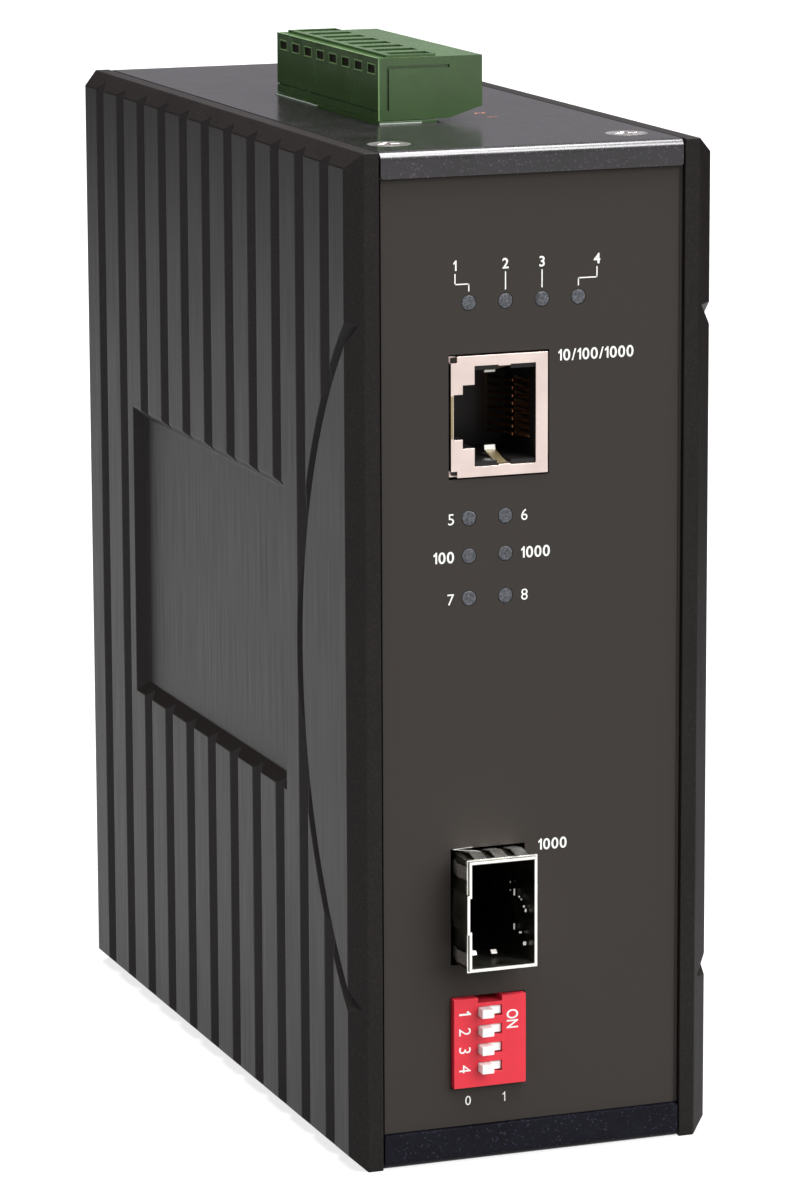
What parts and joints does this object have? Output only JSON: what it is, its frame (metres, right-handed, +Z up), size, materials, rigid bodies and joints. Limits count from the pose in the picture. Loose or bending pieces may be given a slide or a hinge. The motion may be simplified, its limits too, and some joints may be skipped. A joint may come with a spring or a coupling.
{
  "type": "fibre media converter",
  "caption": "Rail-mount fibre media converter: dark ribbed metal housing with a copper jack, an optical module cage, a slide switch, indicator lights and a pluggable terminal block.",
  "frame": {"origin": "centre of the housing's bottom face", "axes": "+X to the right seen from the front, +Y to the rear, +Z up"},
  "size_m": [0.051, 0.1236, 0.1441],
  "materials": {
    "cover_paint": "satin dark grey paint over die-cast aluminium",
    "plate_paint": "fine-textured blue-black powder coat",
    "front_film": "matt dark grey printed film",
    "dark_steel": "blackened steel screw",
    "bright_steel": "plain bright steel",
    "shield_steel": "tinned sheet, slightly warm",
    "board_green": "green solder mask",
    "brass": "plain turned brass",
    "black_plastic": "moulded black plastic",
    "gold_contact": "gold-plated spring wire",
    "switch_red": "moulded red plastic",
    "slider_white": "moulded white plastic",
    "light_lens": "unlit milky grey lens",
    "terminal_green": "moulded green plastic",
    "tinned": "tinned copper alloy",
    "can_aluminium": "bare aluminium can",
    "relay_case": "pale moulded case"
  },
  "bodies": {
    "housing": {"right_cover": "cover_paint", "left_cover": "cover_paint", "top_plate": "plate_paint", "bottom_plate": "plate_paint", "top_screws": "dark_steel", "bottom_screws": "dark_steel", "front_panel": "plate_paint", "rear_panel": "plate_paint", "front_film": "front_film", "circuit_board": "board_green", "board_spacers": "brass", "board_screws": "bright_steel", "jack_shell": "shield_steel", "jack_housing": "black_plastic", "jack_contacts": "gold_contact", "fibre_cage": "bright_steel", "cage_fingers": "bright_steel", "card_socket": "black_plastic", "switch_body": "switch_red", "status_lights": "light_lens", "port_lights": "light_lens", "light_holders": "black_plastic", "terminal_header": "terminal_green", "header_pins": "tinned", "main_chip": "black_plastic", "magnetics": "black_plastic", "capacitors": "can_aluminium", "coil": "black_plastic", "relay": "relay_case", "clip_plate": "bright_steel", "clip_spring": "bright_steel", "clip_screws": "bright_steel"},
    "switch_slider_1": {"switch_slider_1": "slider_white"},
    "switch_slider_2": {"switch_slider_2": "slider_white"},
    "switch_slider_3": {"switch_slider_3": "slider_white"},
    "switch_slider_4": {"switch_slider_4": "slider_white"},
    "terminal_plug": {"terminal_plug": "terminal_green", "plug_contacts": "tinned"},
    "clamp_screw_1": {"clamp_screw_1": "bright_steel"},
    "clamp_screw_2": {"clamp_screw_2": "bright_steel"},
    "clamp_screw_3": {"clamp_screw_3": "bright_steel"},
    "clamp_screw_4": {"clamp_screw_4": "bright_steel"},
    "clamp_screw_5": {"clamp_screw_5": "bright_steel"},
    "clamp_screw_6": {"clamp_screw_6": "bright_steel"},
    "clamp_screw_7": {"clamp_screw_7": "bright_steel"},
    "clamp_screw_8": {"clamp_screw_8": "bright_steel"},
    "wire_clamp_1": {"wire_clamp_1": "tinned"},
    "wire_clamp_2": {"wire_clamp_2": "tinned"},
    "wire_clamp_3": {"wire_clamp_3": "tinned"},
    "wire_clamp_4": {"wire_clamp_4": "tinned"},
    "wire_clamp_5": {"wire_clamp_5": "tinned"},
    "wire_clamp_6": {"wire_clamp_6": "tinned"},
    "wire_clamp_7": {"wire_clamp_7": "tinned"},
    "wire_clamp_8": {"wire_clamp_8": "tinned"}
  },
  "joints": [
    {"name": "switch_1", "type": "slide", "parent": "housing", "child": "switch_slider_1", "axis": [1, 0, 0], "range_m": [0, 0.0016]},
    {"name": "switch_2", "type": "slide", "parent": "housing", "child": "switch_slider_2", "axis": [1, 0, 0], "range_m": [0, 0.0016]},
    {"name": "switch_3", "type": "slide", "parent": "housing", "child": "switch_slider_3", "axis": [1, 0, 0], "range_m": [0, 0.0016]},
    {"name": "switch_4", "type": "slide", "parent": "housing", "child": "switch_slider_4", "axis": [1, 0, 0], "range_m": [0, 0.0016]},
    {"name": "plug_pull", "type": "slide", "parent": "housing", "child": "terminal_plug", "axis": [0, 0, 1], "range_m": [0, 0.012]},
    {"name": "screw_turn_1", "type": "hinge", "parent": "terminal_plug", "child": "clamp_screw_1", "pos_m": [0, -0.02416, 0.13965], "axis": [-1, 0, 0], "range_deg": [0, 1080]},
    {"name": "screw_turn_2", "type": "hinge", "parent": "terminal_plug", "child": "clamp_screw_2", "pos_m": [0, -0.01908, 0.13965], "axis": [-1, 0, 0], "range_deg": [0, 1080]},
    {"name": "screw_turn_3", "type": "hinge", "parent": "terminal_plug", "child": "clamp_screw_3", "pos_m": [0, -0.014, 0.13965], "axis": [-1, 0, 0], "range_deg": [0, 1080]},
    {"name": "screw_turn_4", "type": "hinge", "parent": "terminal_plug", "child": "clamp_screw_4", "pos_m": [0, -0.00892, 0.13965], "axis": [-1, 0, 0], "range_deg": [0, 1080]},
    {"name": "screw_turn_5", "type": "hinge", "parent": "terminal_plug", "child": "clamp_screw_5", "pos_m": [0, -0.00384, 0.13965], "axis": [-1, 0, 0], "range_deg": [0, 1080]},
    {"name": "screw_turn_6", "type": "hinge", "parent": "terminal_plug", "child": "clamp_screw_6", "pos_m": [0, 0.00124, 0.13965], "axis": [-1, 0, 0], "range_deg": [0, 1080]},
    {"name": "screw_turn_7", "type": "hinge", "parent": "terminal_plug", "child": "clamp_screw_7", "pos_m": [0, 0.00632, 0.13965], "axis": [-1, 0, 0], "range_deg": [0, 1080]},
    {"name": "screw_turn_8", "type": "hinge", "parent": "terminal_plug", "child": "clamp_screw_8", "pos_m": [0, 0.0114, 0.13965], "axis": [-1, 0, 0], "range_deg": [0, 1080]},
    {"name": "clamp_rise_1", "type": "slide", "parent": "terminal_plug", "child": "wire_clamp_1", "axis": [1, 0, 0], "range_m": [0, 0.0015]},
    {"name": "clamp_rise_2", "type": "slide", "parent": "terminal_plug", "child": "wire_clamp_2", "axis": [1, 0, 0], "range_m": [0, 0.0015]},
    {"name": "clamp_rise_3", "type": "slide", "parent": "terminal_plug", "child": "wire_clamp_3", "axis": [1, 0, 0], "range_m": [0, 0.0015]},
    {"name": "clamp_rise_4", "type": "slide", "parent": "terminal_plug", "child": "wire_clamp_4", "axis": [1, 0, 0], "range_m": [0, 0.0015]},
    {"name": "clamp_rise_5", "type": "slide", "parent": "terminal_plug", "child": "wire_clamp_5", "axis": [1, 0, 0], "range_m": [0, 0.0015]},
    {"name": "clamp_rise_6", "type": "slide", "parent": "terminal_plug", "child": "wire_clamp_6", "axis": [1, 0, 0], "range_m": [0, 0.0015]},
    {"name": "clamp_rise_7", "type": "slide", "parent": "terminal_plug", "child": "wire_clamp_7", "axis": [1, 0, 0], "range_m": [0, 0.0015]},
    {"name": "clamp_rise_8", "type": "slide", "parent": "terminal_plug", "child": "wire_clamp_8", "axis": [1, 0, 0], "range_m": [0, 0.0015]}
  ],
  "couplings": [
    {"joint": "screw_turn_1", "follows": "clamp_rise_1", "rad_per_m": 12560},
    {"joint": "screw_turn_2", "follows": "clamp_rise_2", "rad_per_m": 12560},
    {"joint": "screw_turn_3", "follows": "clamp_rise_3", "rad_per_m": 12560},
    {"joint": "screw_turn_4", "follows": "clamp_rise_4", "rad_per_m": 12560},
    {"joint": "screw_turn_5", "follows": "clamp_rise_5", "rad_per_m": 12560},
    {"joint": "screw_turn_6", "follows": "clamp_rise_6", "rad_per_m": 12560},
    {"joint": "screw_turn_7", "follows": "clamp_rise_7", "rad_per_m": 12560},
    {"joint": "screw_turn_8", "follows": "clamp_rise_8", "rad_per_m": 12560}
  ]
}
